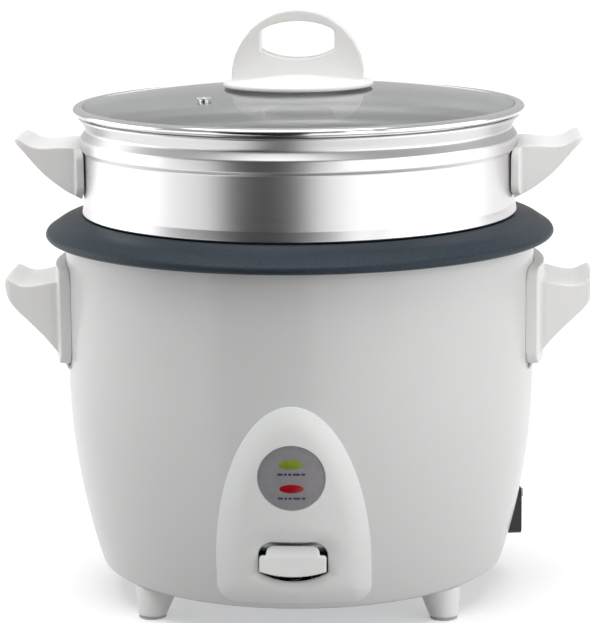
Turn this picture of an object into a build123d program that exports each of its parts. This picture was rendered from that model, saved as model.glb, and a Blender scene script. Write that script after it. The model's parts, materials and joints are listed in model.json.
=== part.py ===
from build123d import *
import os
from math import asin, copysign, cos, degrees, pi, radians, sin, sqrt

# Drum rice cooker with a stacked steamer tray and a glass lid. Millimetres, +Z up, front faces -Y.
# The origin is on the floor, on the axis of the drum.

# ---- Driving dimensions ----------------------------------------------------------------------
DRUM_R = 120.6            # outer radius of the straight upper part of the drum
DRUM_BOTTOM = 16.0        # underside of the drum
DRUM_TOP = 191.5          # top of the drum's rolled rim
BELLY_Z = 118.0           # height where the straight wall turns into the belly curve
BELLY_CURVE_R = 330.0     # radius of the belly curve
DRUM_CORNER_R = 3.2       # small radius between belly and underside
SHEET = 0.8               # steel sheet of the drum

LINER_R = 113.0           # outer radius of the heat shield bowl
LINER_BOTTOM = 45.0
LINER_SHEET = 0.6

BASE_FLOOR = DRUM_BOTTOM + SHEET      # the base plate lies on the drum's return lip
BASE_TOP = BASE_FLOOR + 1.0
BASE_R = 99.0
LIP_R = 93.0              # inner radius of the drum's return lip

FOOT_CIRCLE_X = 70.5
FOOT_CIRCLE_Y = 59.0
FOOT_TOP_R = 12.3         # radius where the foot ends inside the drum's corner
FOOT_TOP_Z = 20.0
FOOT_BOTTOM_R = 7.2
FOOT_SPLAY_X = 3.3        # the foot leans outwards by this much between its top and its bottom
FOOT_SPLAY_Y = 5.0
PAD_HEIGHT = 1.2

PLATE_R = 85.0            # cast heating plate
PLATE_BOTTOM = 49.0
PLATE_TOP = 61.6
PLATE_HOLE_R = 17.0
ELEMENT_R = 60.0          # radius of the ring of the sheathed element
ELEMENT_TUBE_R = 3.4
ELEMENT_Z = 50.2
ELEMENT_GAP_ANGLE = 30.0  # the ring is open by this much, where the terminals come out

POT_R = 109.3             # outer radius of the inner pot
POT_SHEET = 1.8
POT_BOTTOM = 61.9
RING_R = 131.5            # outer radius of the pot's sloping ring
RING_TOP = 200.0

TRAY_SHEET = 0.8
TRAY_FLOOR = 189.0
TRAY_NEST_R = 105.5       # the part of the tray that stands inside the pot
TRAY_WALL_R = 111.6
TRAY_SKIRT_R = 113.0
TRAY_SKIRT_Z = 200.4
TRAY_BEAD_Z = 238.0
TRAY_GROOVE_R = 109.1
TRAY_RIM_R = 112.8
TRAY_RIM_Z = 251.8

LID_RIM_R = 115.8
LID_RIM_Z = 252.6
LID_RIM_HEIGHT = 5.0
GLASS_R = 114.6
GLASS_EDGE_Z = 256.2
GLASS_CROWN_Z = 263.4
GLASS_THICKNESS = 2.8
VENT_AT = (-45.0, -45.0)

KNOB_FLANGE_R = 38.5
KNOB_BASE_Z = 264.1
KNOB_TOP_Z = 302.0
KNOB_SPRING_Z = 268.0     # centre of the grip's half ellipse
KNOB_HALF_WIDTH = 33.8
FINGER_HOLE_Z = 286.8
KNOB_DEPTH = 17.0

BEZEL_TOP = 122.0
BEZEL_SPRING_Z = 40.0     # below this the outline has straight sides
BEZEL_HALF_WIDTH = 38.0
BEZEL_BOTTOM = 19.5
BEZEL_PROUD = 3.6         # how far the bezel stands out from the drum
DIAL_Z = 87.0
DIAL_R = 16.3
COOK_LENS_Z = 94.4
WARM_LENS_Z = 82.2
LENS_HALF_WIDTH = 5.9
LENS_HALF_HEIGHT = 2.2
SLOT_HALF_WIDTH = 16.9
SLOT_TOP = 53.2
SLOT_CORNER_Z = 37.6      # where the sides of the slot meet its curved lower edge
SLOT_BOTTOM = 33.7

PIVOT_Y = -62.0           # lever pivot
PIVOT_Z = 36.0
LEVER_HALF_WIDTH = 6.0
LEVER_SHEET = 1.5
LEVER_FRONT_Z = 43.0      # middle of the strip in front of the pivot
LEVER_REAR_Z = 30.0       # middle of the strip behind the pivot
PADDLE_HALF_WIDTH = 16.3
PADDLE_NECK_HALF_WIDTH = 13.0
PADDLE_SHOULDER_Z = 46.3  # the neck is above the shoulder
PADDLE_TOP = 51.0
PADDLE_BOTTOM = 38.9      # lower edge of the part that moves inside the slot
PADDLE_LIP_Z = 36.2       # lower edge of the finger lip, which hangs in front of the bezel
PADDLE_LIP_BACK_Y = -114.3
PADDLE_BACK_Y = -112.1

INLET_AZIMUTH = 8.0       # degrees behind the +X direction
INLET_Z = 38.4
INLET_FACE_R = 114.2

CLEARANCE = 0.05          # slack between pieces that are fixed to each other
RUNNING = 0.06            # radial clearance of a pin or a shaft that turns or slides


# ---- Helpers ---------------------------------------------------------------------------------
def outline(points, corner_radii=0):
    """Closed face from (x, y) points, with a radius for each corner."""
    if corner_radii == 0:
        return make_face(Polyline(*points, close=True))
    return make_face(FilletPolyline(*points, radius=corner_radii, close=True))


def turned(points, corner_radii=0):
    """Solid of revolution about Z from a closed outline of (radius, height) points."""
    return revolve(Plane.XZ * outline(points, corner_radii), Axis.Z)


def spun_sheet(points, corner_radii, thickness):
    """Sheet metal of revolution: the path is its outer face, the thickness lies to the left of it."""
    path = FilletPolyline(*points, radius=corner_radii)
    section = make_face(offset(path, thickness, side=Side.LEFT))
    return revolve(Plane.XZ * section, Axis.Z)


def disc(radius, low, high, x=0.0, y=0.0):
    """Upright cylinder between two heights."""
    return Pos(x, y, (low + high) / 2) * Cylinder(radius, high - low)


def tube(outer, inner, low, high, x=0.0, y=0.0):
    return disc(outer, low, high, x, y) - disc(inner, low - 1, high + 1, x, y)


def block(x0, x1, y0, y1, z0, z1):
    """Box between two corners."""
    return Pos((x0 + x1) / 2, (y0 + y1) / 2, (z0 + z1) / 2) * Box(x1 - x0, y1 - y0, z1 - z0)


def rod_along(start, direction, radius, length):
    """Cylinder from a point along a direction."""
    return Plane(origin=start, z_dir=direction) * (Pos(0, 0, length / 2) * Cylinder(radius, length))


def screw(under_head, direction, head_r, head_height, shank_r, length):
    """Cross-recessed screw. The shank runs along the direction, the head lies behind the point."""
    recess_depth = head_height * 0.6
    arm = head_r * 1.2
    body = Pos(0, 0, length / 2) * Cylinder(shank_r, length)
    body += Pos(0, 0, -head_height / 2) * Cylinder(head_r, head_height)
    for turn in (0, 90):
        slit = Box(arm, head_r * 0.25, recess_depth)
        body -= Rot(0, 0, turn) * Pos(0, 0, -head_height + recess_depth / 2) * slit
    return Plane(origin=under_head, z_dir=direction) * body


def coil_spring(radius, wire_r, low, high, turns, x=0.0, y=0.0):
    """Compression spring between two heights."""
    height = high - low - 2 * wire_r
    path = Helix(pitch=height / turns, height=height, radius=radius)
    section = Plane(origin=path @ 0, z_dir=path % 0) * Circle(wire_r)
    return Pos(x, y, low + wire_r) * sweep(section, path=path)


def drum(inset):
    """Filled drum. Its faces lie inside the drum's outer faces by the inset, measured square to them."""
    wall_r = DRUM_R - inset
    curve_r = BELLY_CURVE_R - inset
    floor_z = DRUM_BOTTOM + inset
    drop = BELLY_Z - floor_z
    low_r = DRUM_R - BELLY_CURVE_R + sqrt(curve_r**2 - drop**2)
    sweep_angle = degrees(asin(drop / curve_r))
    belly = CenterArc((DRUM_R - BELLY_CURVE_R, BELLY_Z), curve_r, -sweep_angle, sweep_angle)
    edges = [
        Line((0, floor_z), (low_r, floor_z)),
        belly,
        Line((wall_r, BELLY_Z), (wall_r, DRUM_TOP - inset)),
        Line((wall_r, DRUM_TOP - inset), (0, DRUM_TOP - inset)),
        Line((0, DRUM_TOP - inset), (0, floor_z)),
    ]
    face = make_face(edges)
    low_corner = face.vertices().sort_by_distance((low_r, floor_z))[0]
    face = fillet(low_corner, DRUM_CORNER_R - inset)
    top_corner = face.vertices().sort_by_distance((wall_r, DRUM_TOP - inset))[0]
    face = fillet(top_corner, DRUM_CORNER_R - inset)
    return revolve(Plane.XZ * face, Axis.Z)


def drum_radius(height):
    """Outer radius of the drum at a height."""
    if height >= BELLY_Z:
        return DRUM_R
    drop = BELLY_Z - height
    return DRUM_R - BELLY_CURVE_R + sqrt(BELLY_CURVE_R**2 - drop**2)


def front_layer(face, inner, outer):
    """The piece of a layer on the drum's front that lies behind a face drawn in the XZ plane."""
    prism = extrude(Plane.XZ * face, amount=200)
    return (drum(-outer) - drum(-inner)) & prism


def front_hole(face):
    """Cutter through the drum's front wall."""
    return Pos(0, -90, 0) * extrude(Plane.XZ * face, amount=60)


# ---- Drum, liner and base --------------------------------------------------------------------
HANDLE_SCREW_Z = 150.0
HANDLE_SCREW_Y = 22.0
BEZEL_SCREWS = ((0.0, 110.0), (-27.0, 34.0), (27.0, 34.0))
POST_ANGLES = (90.0, 210.0, 330.0)
POST_CIRCLE_R = 74.0
BASE_SCREW_ANGLES = (0.0, 90.0, 180.0, 240.0, 300.0)
BASE_SCREW_R = 96.0
KEEP_WARM_AT = (-38.0, 18.0)
FEET = {
    "front_left": (-FOOT_CIRCLE_X, -FOOT_CIRCLE_Y),
    "front_right": (FOOT_CIRCLE_X, -FOOT_CIRCLE_Y),
    "rear_left": (-FOOT_CIRCLE_X, FOOT_CIRCLE_Y),
    "rear_right": (FOOT_CIRCLE_X, FOOT_CIRCLE_Y),
}


def polar(radius, angle):
    return radius * cos(radians(angle)), radius * sin(radians(angle))


def element_ends():
    """The two places where the sheathed element leaves the heating plate."""
    return [polar(ELEMENT_R, 90 + side * ELEMENT_GAP_ANGLE / 2) for side in (-1, 1)]


def inlet_frame():
    """Plane at the inlet's face: its Z points out of the drum, its Y points up."""
    across = (-sin(radians(INLET_AZIMUTH)), cos(radians(INLET_AZIMUTH)), 0)
    out = (cos(radians(INLET_AZIMUTH)), sin(radians(INLET_AZIMUTH)), 0)
    origin = (out[0] * INLET_FACE_R, out[1] * INLET_FACE_R, INLET_Z)
    return Plane(origin=origin, x_dir=across, z_dir=out)


INLET_SCREW_X = 14.2
INLET_BODY_WIDTH = 26.6
INLET_BODY_HEIGHT = 17.4
INLET_BODY_Y = -2.2        # the body sits low behind its flange, clear of the heat shield


def body_shell():
    shell = drum(0) - drum(SHEET)
    shell -= disc(LIP_R, DRUM_BOTTOM - 1, DRUM_BOTTOM + 2)
    shell -= disc(116.0, DRUM_TOP - 2, DRUM_TOP + 1)
    shell -= front_hole(Pos(0, DIAL_Z) * Circle(13.5))
    slot_middle = (SLOT_TOP + SLOT_BOTTOM) / 2
    shell -= front_hole(Pos(0, slot_middle) * Rectangle(2 * SLOT_HALF_WIDTH + 3, SLOT_TOP - SLOT_BOTTOM + 2.6))
    for x, z in BEZEL_SCREWS:
        shell -= front_hole(Pos(x, z) * Circle(3.4 + CLEARANCE))
    for side in (-1, 1):
        for y in (-HANDLE_SCREW_Y, HANDLE_SCREW_Y):
            shell -= rod_along((side * 110, y, HANDLE_SCREW_Z), (side, 0, 0), 2.2, 15)
    for angle in BASE_SCREW_ANGLES:
        x, y = polar(BASE_SCREW_R, angle)
        shell -= disc(1.6, DRUM_BOTTOM - 1, DRUM_BOTTOM + 2, x, y)
    for x, y in FEET.values():
        shell -= disc(2.2, DRUM_BOTTOM - 1, DRUM_BOTTOM + 2, x, y)
    window = Pos(0, INLET_BODY_Y) * Rectangle(INLET_BODY_WIDTH + 0.6, INLET_BODY_HEIGHT + 0.6)
    shell -= inlet_frame() * Pos(0, 0, -20) * extrude(window, amount=30)
    for side in (-1, 1):
        hole = Pos(side * INLET_SCREW_X, 9.6) * Circle(1.3)
        shell -= inlet_frame() * Pos(0, 0, -20) * extrude(hole, amount=30)
    return shell


def inner_liner():
    rim_z = DRUM_TOP
    path = [(0, LINER_BOTTOM), (LINER_R, LINER_BOTTOM), (LINER_R, rim_z), (117.4, rim_z)]
    liner = spun_sheet(path, [12.0, 1.0], LINER_SHEET)
    liner -= disc(10.4, LINER_BOTTOM - 1, LINER_BOTTOM + 1)
    for angle in POST_ANGLES:
        x, y = polar(POST_CIRCLE_R, angle)
        liner -= disc(2.2, LINER_BOTTOM - 1, LINER_BOTTOM + 1, x, y)
    for x, y in element_ends():
        liner -= disc(3.4, LINER_BOTTOM - 1, LINER_BOTTOM + 1, x, y)
    liner -= disc(10.0, LINER_BOTTOM - 1, LINER_BOTTOM + 1, *KEEP_WARM_AT)
    return liner


def base_plate():
    plate = disc(BASE_R, BASE_FLOOR, BASE_TOP)
    for ring_r, count in ((28.0, 8), (46.0, 12)):
        for index in range(count):
            x, y = polar(ring_r, 360 * (index + 0.5) / count)
            if y > -20:
                plate -= disc(2.6, BASE_FLOOR - 1, BASE_TOP + 1, x, y)
    for angle in BASE_SCREW_ANGLES:
        x, y = polar(BASE_SCREW_R, angle)
        plate -= disc(1.55, BASE_FLOOR - 1, BASE_TOP + 1, x, y)
    for x, y in FEET.values():
        plate -= disc(2.05, BASE_FLOOR - 1, BASE_TOP + 1, x, y)
    for y in BRACKET_SCREW_YS:
        plate -= disc(1.55, BASE_FLOOR - 1, BASE_TOP + 1, 0, y)
    return plate


def base_plate_screws():
    screws = []
    for angle in BASE_SCREW_ANGLES:
        x, y = polar(BASE_SCREW_R, angle)
        screws.append(screw((x, y, DRUM_BOTTOM), (0, 0, 1), 2.8, 1.6, 1.5, 4.5))
    return screws


def foot_bottom(x, y):
    """Centre of the foot's sole, which lies further out than its top."""
    return x + copysign(FOOT_SPLAY_X, x), y + copysign(FOOT_SPLAY_Y, y)


def foot(x, y):
    sole_x, sole_y = foot_bottom(x, y)
    body = loft([
        Pos(sole_x, sole_y, PAD_HEIGHT) * Circle(FOOT_BOTTOM_R),
        Pos(x, y, FOOT_TOP_Z) * Circle(FOOT_TOP_R),
    ])
    body = fillet(body.edges().sort_by(Axis.Z)[0], 0.8)
    body -= drum(-CLEARANCE)
    body -= disc(4.4, PAD_HEIGHT - 1, 4.1, sole_x, sole_y)
    body -= disc(2.05, 8.0, DRUM_BOTTOM + 1, x, y)
    return body


def foot_pads():
    pads = []
    for x, y in FEET.values():
        pad = turned([(0, 0), (6.9, 0), (6.9, PAD_HEIGHT), (4.35, PAD_HEIGHT), (4.35, 4.0), (0, 4.0)])
        sole_x, sole_y = foot_bottom(x, y)
        pads.append(Pos(sole_x, sole_y, 0) * pad)
    return pads


def foot_screws():
    return [screw((x, y, BASE_TOP), (0, 0, -1), 3.8, 2.4, 2.0, 9.4) for x, y in FEET.values()]


# ---- Side handles ----------------------------------------------------------------------------
def side_handle(wall_r, plate, wing_top, wing_under, root_half_width, tip_half_width, cavity):
    """Winged handle on the +X side: a curved base plate and a hollow wing with a dished top.

    plate is (bottom, top, thickness, half width). wing_top and wing_under are (radius, height)
    points from the wall to the tip. cavity is (inner radius, outer radius, roof height).
    """
    plate_bottom, plate_top, plate_thickness, plate_half = plate
    inner_r = wall_r + CLEARANCE
    outer_r = wall_r + plate_thickness
    pad = Pos(wall_r, 0, (plate_bottom + plate_top) / 2) * Rot(0, 90, 0) * extrude(
        RectangleRounded(plate_top - plate_bottom, 2 * plate_half, 6.0), amount=40, both=True
    )
    base = tube(outer_r, inner_r, plate_bottom - 5, plate_top + 5) & pad
    side = make_face([
        Spline(*wing_top),
        Line(wing_top[-1], wing_under[-1]),
        Spline(*reversed(wing_under)),
        Line(wing_under[0], wing_top[0]),
    ])
    wing = extrude(Plane.XZ * side, amount=root_half_width, both=True)
    tip_r = wing_under[-1][0]
    plan = outline(
        [
            (wall_r - 10, -root_half_width), (outer_r, -root_half_width), (tip_r + 0.6, -tip_half_width),
            (tip_r + 0.6, tip_half_width), (outer_r, root_half_width), (wall_r - 10, root_half_width),
        ],
        [0, 3.0, 6.0, 6.0, 3.0, 0],
    )
    wing = wing & extrude(plan, amount=400)
    wing -= disc(inner_r, plate_bottom - 30, plate_top + 30)
    cavity_inner, cavity_outer, roof = cavity
    hollow = block(cavity_inner, cavity_outer, -tip_half_width + 4, tip_half_width - 4, 0, roof)
    return base + (wing - hollow)


BODY_HANDLE_TOP = [(118.0, 165.2), (131.0, 165.0), (138.0, 163.6), (143.5, 164.0), (148.5, 166.6), (150.6, 167.2)]
BODY_HANDLE_UNDER = [(118.0, 120.5), (127.8, 134.6), (133.0, 140.0), (141.0, 147.2), (147.6, 154.0), (151.2, 164.0)]
TRAY_HANDLE_TOP = [(109.5, 233.2), (124.0, 233.7), (131.5, 232.4), (137.0, 233.0), (142.2, 235.6), (144.0, 236.2)]
TRAY_HANDLE_UNDER = [(109.5, 208.0), (116.0, 211.4), (122.6, 214.9), (130.5, 220.2), (138.4, 227.8), (144.6, 233.8)]


def body_handle():
    handle = side_handle(
        DRUM_R, (124.0, 174.0, 5.6, 35.0), BODY_HANDLE_TOP, BODY_HANDLE_UNDER, 29.0, 23.0,
        (128.5, 145.5, 160.6),
    )
    for y in (-HANDLE_SCREW_Y, HANDLE_SCREW_Y):
        handle -= rod_along((DRUM_R - 5, y, HANDLE_SCREW_Z), (1, 0, 0), 2.0 + CLEARANCE, 9.4)
    return handle


def body_handle_screws():
    screws = []
    for side in (-1, 1):
        for y in (-HANDLE_SCREW_Y, HANDLE_SCREW_Y):
            inside_x = sqrt((DRUM_R - SHEET)**2 - (HANDLE_SCREW_Y + 4)**2) - 0.1
            screws.append(screw((side * inside_x, y, HANDLE_SCREW_Z), (side, 0, 0), 3.4, 1.4, 2.0, 7.6))
    return screws


# ---- Control bezel, indicator and lamps ------------------------------------------------------
def bezel_face():
    arch = Pos(0, BEZEL_SPRING_Z) * Ellipse(BEZEL_HALF_WIDTH, BEZEL_TOP - BEZEL_SPRING_Z)
    arch &= Pos(0, BEZEL_SPRING_Z + 60) * Rectangle(200, 120)
    lower = outline(
        [
            (-BEZEL_HALF_WIDTH, BEZEL_SPRING_Z), (-BEZEL_HALF_WIDTH + 0.6, BEZEL_BOTTOM),
            (BEZEL_HALF_WIDTH - 0.6, BEZEL_BOTTOM), (BEZEL_HALF_WIDTH, BEZEL_SPRING_Z),
        ],
        [0, 9.0, 9.0, 0],
    )
    return arch + lower


def lens_face(height, extra=0.0):
    return Pos(0, height) * Ellipse(LENS_HALF_WIDTH + extra, LENS_HALF_HEIGHT + extra)


def bowed_face(half_width, bottom, corner_z, top, corner_radius):
    """Face with a curved lower edge, straight sides and two round upper corners."""
    lower = ThreePointArc((-half_width, corner_z), (0, bottom), (half_width, corner_z))
    upper = FilletPolyline(
        (half_width, corner_z), (half_width, top), (-half_width, top), (-half_width, corner_z),
        radius=corner_radius,
    )
    return make_face(lower.edges() + upper.edges())


def control_bezel():
    bezel = front_layer(bezel_face(), CLEARANCE, BEZEL_PROUD)
    bezel -= front_hole(bowed_face(SLOT_HALF_WIDTH, SLOT_BOTTOM, SLOT_CORNER_Z, SLOT_TOP, 7.5))
    seat = drum(-BEZEL_PROUD - 5) - drum(-BEZEL_PROUD + 1.0)
    bezel -= seat & extrude(Plane.XZ * (Pos(0, DIAL_Z) * Circle(DIAL_R)), amount=200)
    for z in (COOK_LENS_Z, WARM_LENS_Z):
        bezel -= front_hole(lens_face(z))
    for x, z in BEZEL_SCREWS:
        wall_y = -sqrt(drum_radius(z)**2 - x**2)
        bezel += rod_along((x, wall_y + 2.4, z), (0, -1, 0), 3.4, 3.4)
        bezel -= rod_along((x, wall_y + 4, z), (0, -1, 0), 1.5 + CLEARANCE, 6.6)
    return bezel


def bezel_screws():
    screws = []
    for x, z in BEZEL_SCREWS:
        wall_y = -sqrt(drum_radius(z)**2 - x**2)
        screws.append(screw((x, wall_y + 2.4, z), (0, -1, 0), 2.8, 1.4, 1.5, 4.8))
    return screws


def indicator_plate():
    face = Pos(0, DIAL_Z) * Circle(DIAL_R - CLEARANCE)
    plate = front_layer(face, BEZEL_PROUD - 0.95, BEZEL_PROUD - 0.15)
    for z in (COOK_LENS_Z, WARM_LENS_Z):
        plate -= front_hole(lens_face(z))
    return plate


def lens(height):
    """Window that runs from behind the bezel to just proud of the indicator plate."""
    return front_layer(lens_face(height, -0.08), 1.0, BEZEL_PROUD + 0.25)


def lamp_holder():
    y_back = -LINER_R - 1.2
    holder = block(-11.0, 11.0, y_back - 1.0, y_back, WARM_LENS_Z - 5, COOK_LENS_Z + 5)
    for z in (COOK_LENS_Z, WARM_LENS_Z):
        for side in (-1, 1):
            x = side * 7.4
            holder += block(x - 0.6, x + 0.6, y_back - 3.2, y_back, z - 1.5, z + 1.5)
    return holder


def lamp(height):
    body = rod_along((-6.4, -LINER_R - 4.0, height), (1, 0, 0), 1.5, 12.8)
    return fillet(body.edges(), 0.7)


# ---- Lever, switch and magnet ----------------------------------------------------------------
BRACKET_Y0 = -91.6
BRACKET_Y1 = -56.0
BRACKET_INNER = 8.0
BRACKET_SCREW_YS = (-89.0, -65.0)
SWITCH_SCREW_YS = (-86.0, -74.0)
SWITCH_SCREW_Z = 31.0
PLUNGER_Y = -80.0
ROD_R = 2.0


def lever_bracket():
    bracket = block(-9, 9, BRACKET_Y0, BRACKET_Y1, BASE_TOP, BASE_TOP + 1)
    for side in (-1, 1):
        x = side * (BRACKET_INNER + 0.5)
        bracket += block(x - 0.5, x + 0.5, BRACKET_Y0, BRACKET_Y1, BASE_TOP, PIVOT_Z + 4)
    bracket -= rod_along((-12, PIVOT_Y, PIVOT_Z), (1, 0, 0), 1.52, 24)
    for y in SWITCH_SCREW_YS:
        bracket -= rod_along((-12, y, SWITCH_SCREW_Z), (1, 0, 0), 1.05, 24)
    for y in BRACKET_SCREW_YS:
        bracket -= disc(1.55, BASE_TOP - 1, BASE_TOP + 2, 0, y)
    bracket -= block(7, 10, PLUNGER_Y - 3, PLUNGER_Y + 3, 21, 26)
    return bracket


def lever_bracket_screws():
    return [screw((0, y, BASE_FLOOR), (0, 0, 1), 2.8, 1.6, 1.5, 4.0) for y in BRACKET_SCREW_YS]


def lever_pivot_pin():
    pin = rod_along((-10, PIVOT_Y, PIVOT_Z), (1, 0, 0), 1.5, 20)
    for side in (-1, 1):
        pin += rod_along((side * 9.1, PIVOT_Y, PIVOT_Z), (side, 0, 0), 2.4, 0.9)
    return pin


def lever_arm():
    half = LEVER_SHEET / 2
    front = block(-LEVER_HALF_WIDTH, LEVER_HALF_WIDTH, -106, -55, LEVER_FRONT_Z - half, LEVER_FRONT_Z + half)
    slope = extrude(
        Plane.YZ * outline([
            (-56, LEVER_FRONT_Z + half), (-56, LEVER_FRONT_Z - half),
            (-42, LEVER_REAR_Z - half), (-42, LEVER_REAR_Z + half),
        ]),
        amount=LEVER_HALF_WIDTH, both=True,
    )
    rear = block(-LEVER_HALF_WIDTH, LEVER_HALF_WIDTH, -43, 6, LEVER_REAR_Z - half, LEVER_REAR_Z + half)
    arm = front + slope + rear
    for side in (-1, 1):
        x = side * (LEVER_HALF_WIDTH - 0.5)
        arm += block(x - 0.5, x + 0.5, PIVOT_Y - 5, PIVOT_Y + 5, PIVOT_Z - 4, LEVER_FRONT_Z)
    arm -= rod_along((-12, PIVOT_Y, PIVOT_Z), (1, 0, 0), 1.5 + RUNNING, 24)
    arm -= disc(ROD_R + 1.2, LEVER_REAR_Z - 3, LEVER_REAR_Z + 3)
    return arm


def lever_paddle():
    """White touch piece at the front end of the lever, with a tongue that grips the strip."""
    bow = SLOT_CORNER_Z - SLOT_BOTTOM
    body = bowed_face(PADDLE_HALF_WIDTH, PADDLE_BOTTOM, PADDLE_BOTTOM + bow, PADDLE_SHOULDER_Z, 1.5)
    neck_height = PADDLE_TOP - PADDLE_BOTTOM - bow
    body += Pos(0, PADDLE_TOP - neck_height / 2) * RectangleRounded(2 * PADDLE_NECK_HALF_WIDTH, neck_height, 3.6)
    lip = bowed_face(PADDLE_HALF_WIDTH, PADDLE_LIP_Z, PADDLE_LIP_Z + 2.6, PADDLE_SHOULDER_Z, 1.5)
    paddle = Pos(0, PADDLE_BACK_Y, 0) * extrude(Plane.XZ * body, amount=10)
    paddle += Pos(0, PADDLE_LIP_BACK_Y, 0) * extrude(Plane.XZ * lip, amount=10)
    side = outline(
        [(-100, 30), (-116.9, 30), (-116.9, 36), (-115.8, 45.8), (-113.2, 51), (-112.6, 60), (-100, 60)],
        [0, 0, 3, 3, 3, 0, 0],
    )
    paddle &= extrude(Plane.YZ * side, amount=30, both=True)
    paddle += block(-9, 9, -113, -103.5, LEVER_FRONT_Z - 2.4, LEVER_FRONT_Z + 1.6)
    paddle -= block(
        -LEVER_HALF_WIDTH - CLEARANCE, LEVER_HALF_WIDTH + CLEARANCE, -106 - CLEARANCE, -100,
        LEVER_FRONT_Z - LEVER_SHEET / 2 - CLEARANCE, LEVER_FRONT_Z + LEVER_SHEET / 2 + CLEARANCE,
    )
    return paddle


def lever_return_spring():
    return coil_spring(3.0, 0.5, BASE_TOP + 0.05, LEVER_FRONT_Z - LEVER_SHEET / 2 - 0.3, 8, 0, -95.4)


def microswitch():
    body = block(-7.8, 7.8, -90.5, -69.5, 26.5, 36.5)
    for y in SWITCH_SCREW_YS:
        body -= rod_along((-12, y, SWITCH_SCREW_Z), (1, 0, 0), 1.05, 24)
    body -= disc(1.5 + RUNNING, 31.9, 38, 0, PLUNGER_Y)
    for y in (-87.0, -80.0, -73.0):
        body += block(-2.4, 2.4, y - 0.3, y + 0.3, 21.5, 27)
    return body


def microswitch_screws():
    screws = []
    for y in SWITCH_SCREW_YS:
        screws.append(screw((-9.1, y, SWITCH_SCREW_Z), (1, 0, 0), 1.9, 1.2, 1.0, 19.5))
    return screws


def switch_plunger():
    plunger = disc(1.5, 34.2, LEVER_FRONT_Z - LEVER_SHEET / 2 - 0.35, 0, PLUNGER_Y)
    return fillet(plunger.edges().sort_by(Axis.Z)[-1], 0.6)


MAGNET_R = 7.8
MAGNET_LOW = 40.0
MAGNET_HIGH = 46.0
SLEEVE_R = 10.0
SLEEVE_BORE_R = 9.1
FERRITE_LOW = 54.2


def magnet():
    return tube(MAGNET_R, 1.2, MAGNET_LOW, MAGNET_HIGH)


def magnet_rod():
    rod = disc(ROD_R, 24.0, MAGNET_LOW)
    rod += disc(1.15, MAGNET_LOW - 1, MAGNET_HIGH)
    collar_gap = LEVER_SHEET / 2 + 0.7
    rod += disc(4.6, LEVER_REAR_Z - collar_gap - 1.2, LEVER_REAR_Z - collar_gap)
    rod += disc(4.6, LEVER_REAR_Z + collar_gap, LEVER_REAR_Z + collar_gap + 0.6)
    return rod


def thermostat_sleeve():
    sleeve = tube(SLEEVE_R, SLEEVE_BORE_R, 38.4, 52.0)
    sleeve += tube(SLEEVE_BORE_R + 0.4, ROD_R + RUNNING, 38.4, 39.4)
    sleeve += tube(16.0, SLEEVE_BORE_R, LINER_BOTTOM - 1.0, LINER_BOTTOM - 0.02)
    return sleeve


def thermostat_spring():
    return coil_spring(12.0, 0.6, LINER_BOTTOM + LINER_SHEET + 0.1, 57.4, 4)


def thermostat_cap():
    """Sprung contact cap: its top touches the pot, its skirt slides in the sleeve."""
    cap = disc(15.6, 57.6, PLATE_TOP)
    cap = fillet(cap.edges().sort_by(Axis.Z)[-1], 1.2)
    cap += tube(15.6, 14.6, 54.4, 57.7)
    cap += tube(SLEEVE_BORE_R - 0.08, 8.2, FERRITE_LOW - 2.0, 57.7)
    return cap


def thermostat_ferrite():
    return disc(8.1, FERRITE_LOW, 57.6)


# ---- Heating ---------------------------------------------------------------------------------
def element_path():
    gap = radians(ELEMENT_GAP_ANGLE / 2)
    start = pi / 2 + gap
    sweep_angle = 2 * pi - 2 * gap
    return CenterArc((0, 0), ELEMENT_R, degrees(start), degrees(sweep_angle))


def element_solid(extra):
    path = Pos(0, 0, ELEMENT_Z) * element_path()
    section = Plane(origin=path @ 0, z_dir=path % 0) * Circle(ELEMENT_TUBE_R + extra)
    return sweep(section, path=path)


def heating_plate():
    plate = turned(
        [(PLATE_HOLE_R, PLATE_BOTTOM), (PLATE_R, PLATE_BOTTOM), (PLATE_R, PLATE_TOP), (PLATE_HOLE_R, PLATE_TOP)],
        [0.6, 3.0, 3.0, 0.6],
    )
    plate -= element_solid(CLEARANCE)
    for x, y in element_ends():
        plate -= disc(ELEMENT_TUBE_R + 0.6, PLATE_BOTTOM - 1, ELEMENT_Z + ELEMENT_TUBE_R + 0.3, x, y)
    for angle in POST_ANGLES:
        x, y = polar(POST_CIRCLE_R, angle)
        plate -= disc(2.05, PLATE_BOTTOM - 1, PLATE_BOTTOM + 7, x, y)
    return plate


def heating_element():
    element = element_solid(0)
    for x, y in element_ends():
        element += Pos(x, y, ELEMENT_Z) * Sphere(ELEMENT_TUBE_R)
        element += disc(1.2, 32.0, ELEMENT_Z, x, y)
    return element


def element_insulators():
    return [tube(3.2, 1.25, 40.0, 46.6, x, y) for x, y in element_ends()]


def plate_posts():
    posts = []
    for angle in POST_ANGLES:
        x, y = polar(POST_CIRCLE_R, angle)
        posts.append(tube(4.0, 2.05, LINER_BOTTOM + LINER_SHEET + 0.02, PLATE_BOTTOM - 0.02, x, y))
    return posts


def plate_screws():
    screws = []
    for angle in POST_ANGLES:
        x, y = polar(POST_CIRCLE_R, angle)
        screws.append(screw((x, y, LINER_BOTTOM - 0.02), (0, 0, 1), 3.8, 2.4, 2.0, 10.5))
    return screws


def keep_warm_thermostat():
    x, y = KEEP_WARM_AT
    can = disc(8.0, PLATE_BOTTOM - 8.5, PLATE_BOTTOM - 0.05, x, y)
    can = fillet(can.edges().sort_by(Axis.Z)[0], 1.0)
    for side in (-1, 1):
        can += block(x + side * 5 - 0.4, x + side * 5 + 0.4, y - 3, y + 3, PLATE_BOTTOM - 14, PLATE_BOTTOM - 8)
    return can


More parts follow.
